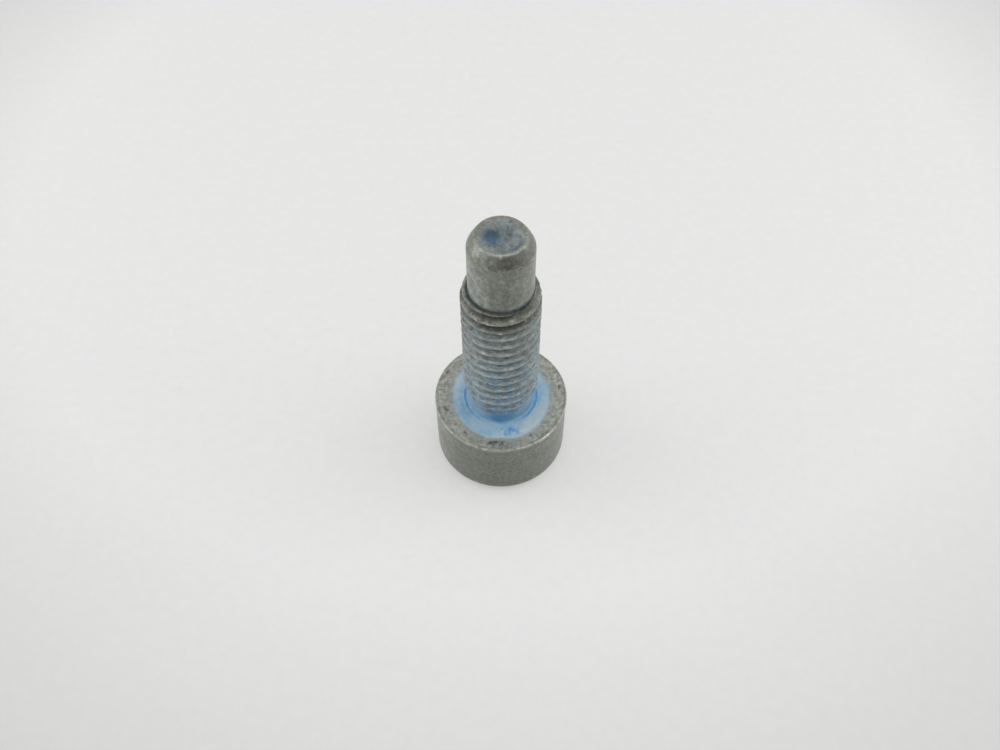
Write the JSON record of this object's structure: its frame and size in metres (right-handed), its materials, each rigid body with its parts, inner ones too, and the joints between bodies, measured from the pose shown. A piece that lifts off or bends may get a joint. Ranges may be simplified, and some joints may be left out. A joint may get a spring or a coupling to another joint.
{
  "type": "star drive bolt",
  "caption": "Steel cap screw with a star drive socket in a tall round head, a coarse rolled thread and a smooth pilot point that leads it into its nut.",
  "frame": {"origin": "centre of the end face of the head, which the bolt stands on", "axes": "+Z along the shank, from the head to the tip; +X through a lobe of the socket"},
  "size_m": [0.018, 0.018, 0.0419],
  "materials": {
    "steel": "matt grey phosphate coating, with a dried blue thread-locking film on the thread and bearing face"
  },
  "bodies": {
    "root": {"bolt": "steel"}
  },
  "joints": []
}
